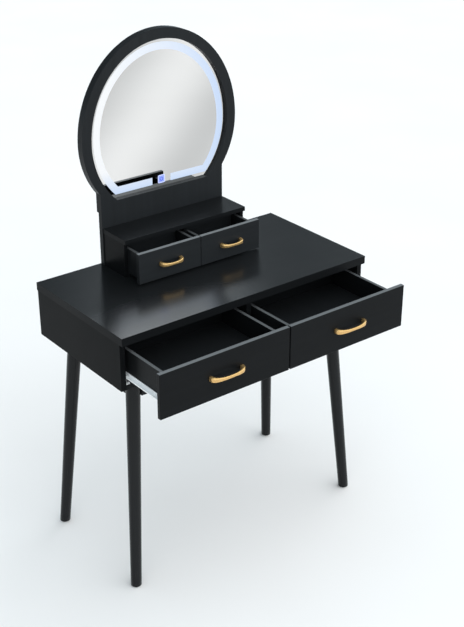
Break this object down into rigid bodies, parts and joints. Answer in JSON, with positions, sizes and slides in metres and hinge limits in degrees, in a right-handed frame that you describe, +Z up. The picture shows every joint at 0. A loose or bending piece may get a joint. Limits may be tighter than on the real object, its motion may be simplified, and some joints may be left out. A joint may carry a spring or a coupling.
{
  "type": "vanity table with mirror",
  "caption": "Dressing table with splayed legs, large drawers on roller slides, a small drawer hutch and an oval mirror with a lit band.",
  "frame": {"origin": "middle of the base of the whole object's box, with the drawers open as at rest", "axes": "+Z up, -Y toward the sitter (drawers open along -Y), +X to the sitter's right"},
  "size_m": [0.8, 0.5904, 1.3765],
  "materials": {
    "black_board": "satin black painted board with a faint grain",
    "leg_lacquer": "satin black lacquered solid wood",
    "drawer_base": "black coated hardboard",
    "brushed_gold": "brushed gold plating",
    "white_steel": "white epoxy coated steel",
    "zinc_steel": "zinc plated",
    "black_plastic": "moulded black",
    "mirror_glass": "silvered glass",
    "frosted_light": "frosted, lit from behind",
    "led_strip": "white circuit strip with lamps",
    "touch_window": "lit touch window"
  },
  "bodies": {
    "table": {"worktop": "black_board", "side_panel_left": "black_board", "side_panel_right": "black_board", "centre_divider": "black_board", "back_panel": "black_board", "bottom_panel": "black_board", "apron_long_rails": "leg_lacquer", "apron_short_rails": "leg_lacquer", "leg_front_left": "leg_lacquer", "leg_front_right": "leg_lacquer", "leg_rear_left": "leg_lacquer", "leg_rear_right": "leg_lacquer", "foot_glides": "black_plastic", "leg_fixings": "zinc_steel", "cam_fittings": "zinc_steel", "frame_screws": "zinc_steel", "left_bay_rails": "white_steel", "right_bay_rails": "white_steel", "hutch_top": "black_board", "hutch_sides": "black_board", "hutch_divider": "black_board", "hutch_bottom": "black_board", "mirror_frame": "black_board", "mirror_back_cover": "black_board", "mirror_glass": "mirror_glass", "light_band": "frosted_light", "led_strip": "led_strip", "touch_switch": "touch_window", "dc_inlet": "black_plastic", "mirror_screws": "zinc_steel"},
    "left_drawer": {"left_drawer_front": "black_board", "left_drawer_sides": "black_board", "left_drawer_back": "black_board", "left_drawer_base": "drawer_base", "left_drawer_handle": "brushed_gold", "left_handle_screws": "zinc_steel", "left_drawer_runners": "white_steel"},
    "right_drawer": {"right_drawer_front": "black_board", "right_drawer_sides": "black_board", "right_drawer_back": "black_board", "right_drawer_base": "drawer_base", "right_drawer_handle": "brushed_gold", "right_handle_screws": "zinc_steel", "right_drawer_runners": "white_steel"},
    "left_small_drawer": {"small_left_front": "black_board", "small_left_sides": "black_board", "small_left_back": "black_board", "small_left_base": "drawer_base", "small_left_handle": "brushed_gold", "small_left_screws": "zinc_steel"},
    "right_small_drawer": {"small_right_front": "black_board", "small_right_sides": "black_board", "small_right_back": "black_board", "small_right_base": "drawer_base", "small_right_handle": "brushed_gold", "small_right_screws": "zinc_steel"},
    "left_front_roller_pair": {"left_front_rollers": "black_plastic"},
    "left_rear_roller_pair": {"left_rear_rollers": "black_plastic"},
    "right_front_roller_pair": {"right_front_rollers": "black_plastic"},
    "right_rear_roller_pair": {"right_rear_rollers": "black_plastic"}
  },
  "joints": [
    {"name": "left_drawer_slide", "type": "slide", "parent": "table", "child": "left_drawer", "axis": [0, -1, 0], "range_m": [-0.154, 0.026]},
    {"name": "right_drawer_slide", "type": "slide", "parent": "table", "child": "right_drawer", "axis": [0, -1, 0], "range_m": [-0.154, 0.026]},
    {"name": "left_small_drawer_slide", "type": "slide", "parent": "table", "child": "left_small_drawer", "axis": [0, -1, 0], "range_m": [-0.0575, 0.02]},
    {"name": "right_small_drawer_slide", "type": "slide", "parent": "table", "child": "right_small_drawer", "axis": [0, -1, 0], "range_m": [-0.0575, 0.02]},
    {"name": "left_front_roller_spin", "type": "hinge", "parent": "table", "child": "left_front_roller_pair", "pos_m": [-0.196, -0.09225, 0.6342], "axis": [1, 0, 0], "range_deg": [-1006, 172]},
    {"name": "left_rear_roller_spin", "type": "hinge", "parent": "left_drawer", "child": "left_rear_roller_pair", "pos_m": [-0.196, -0.02725, 0.6342], "axis": [1, 0, 0], "range_deg": [-1006, 172]},
    {"name": "right_front_roller_spin", "type": "hinge", "parent": "table", "child": "right_front_roller_pair", "pos_m": [0.196, -0.09225, 0.6342], "axis": [1, 0, 0], "range_deg": [-1006, 172]},
    {"name": "right_rear_roller_spin", "type": "hinge", "parent": "right_drawer", "child": "right_rear_roller_pair", "pos_m": [0.196, -0.02725, 0.6342], "axis": [1, 0, 0], "range_deg": [-1006, 172]}
  ],
  "couplings": [
    {"joint": "left_front_roller_spin", "follows": "left_drawer_slide", "rad_per_m": 113.64},
    {"joint": "left_rear_roller_spin", "follows": "left_drawer_slide", "rad_per_m": 113.64},
    {"joint": "right_front_roller_spin", "follows": "right_drawer_slide", "rad_per_m": 113.64},
    {"joint": "right_rear_roller_spin", "follows": "right_drawer_slide", "rad_per_m": 113.64}
  ]
}
